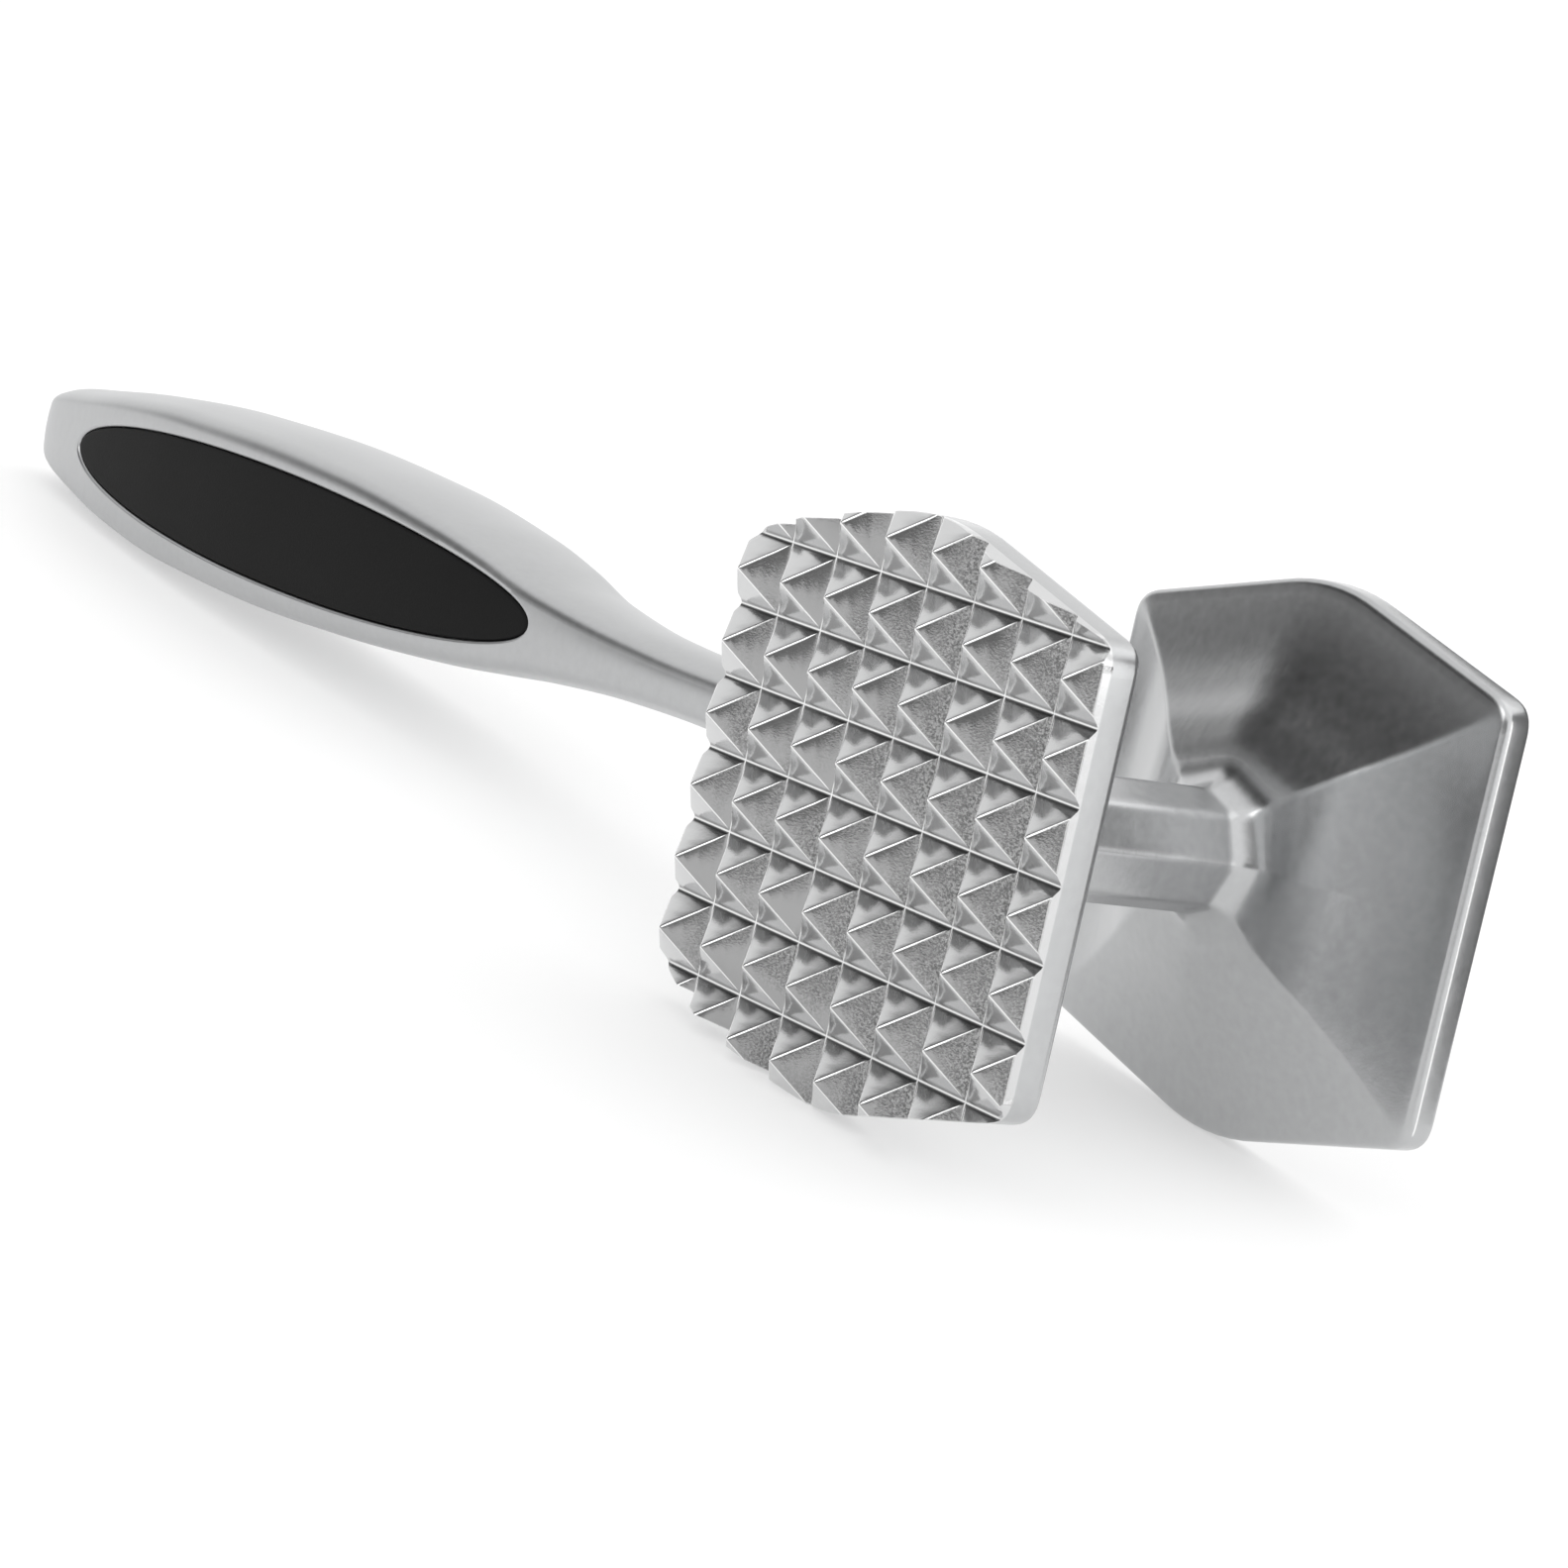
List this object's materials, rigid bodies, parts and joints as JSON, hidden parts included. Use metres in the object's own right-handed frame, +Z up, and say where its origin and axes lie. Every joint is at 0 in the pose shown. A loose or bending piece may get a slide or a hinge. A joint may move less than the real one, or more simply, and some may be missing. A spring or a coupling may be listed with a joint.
{
  "type": "meat mallet",
  "caption": "Double-ended cast metal meat mallet with a toothed plate, a smooth plate and a slim handle with black soft inlays, lying on its side.",
  "frame": {"origin": "on the surface that the mallet lies on, under the middle of its box", "axes": "+Z up from the surface that it lies on; +X from the handle's end to the head; +Y out of the smooth striking face, with the teeth facing -Y"},
  "size_m": [0.245, 0.0548, 0.055],
  "materials": {
    "cast_metal": "satin, fine cast grain",
    "steel": "plain",
    "hard_plastic": "matte",
    "soft_grip": "matte"
  },
  "bodies": {
    "root": {"head_casting": "cast_metal", "handle_casting": "cast_metal", "handle_stud": "steel", "lock_pin": "steel", "front_inlay_carrier": "hard_plastic", "front_inlay": "soft_grip", "rear_inlay_carrier": "hard_plastic", "rear_inlay": "soft_grip"}
  },
  "joints": []
}
